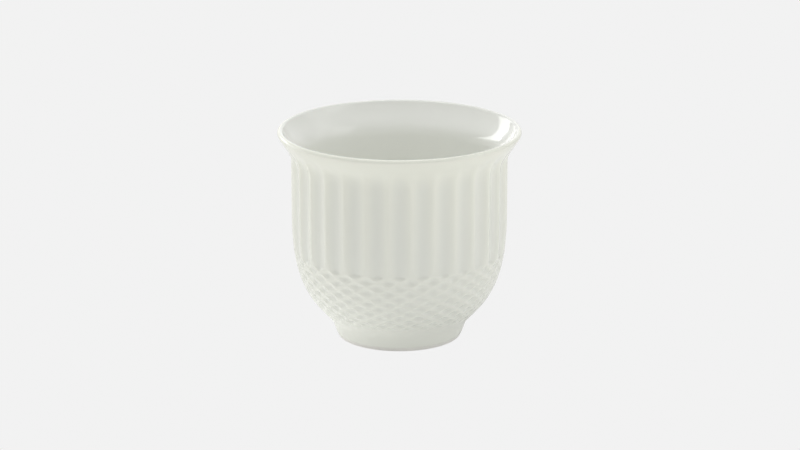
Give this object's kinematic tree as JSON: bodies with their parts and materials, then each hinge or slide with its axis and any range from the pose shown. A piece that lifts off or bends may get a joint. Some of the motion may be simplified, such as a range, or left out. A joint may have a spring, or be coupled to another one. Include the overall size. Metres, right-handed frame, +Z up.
{
  "type": "coffee cup",
  "caption": "Small handle-less porcelain cup with a flared lip, upright flutes over a net of diamond hollows, a plain foot ring and a deep glazed well.",
  "frame": {"origin": "on the table, under the middle of the foot ring", "axes": "+Z up along the axis of the cup; -Y faces the middle of one flute"},
  "size_m": [0.064, 0.064, 0.056],
  "materials": {
    "biscuit": "fired clay without glaze, matt and fine-grained",
    "outer_glaze": "clear glossy glaze over white porcelain",
    "inner_glaze": "clear glossy glaze over white porcelain",
    "underside_glaze": "clear glossy glaze over white porcelain"
  },
  "bodies": {
    "root": {"porcelain_body": "biscuit", "outer_glaze": "outer_glaze", "inner_glaze": "inner_glaze", "underside_glaze": "underside_glaze"}
  },
  "joints": []
}
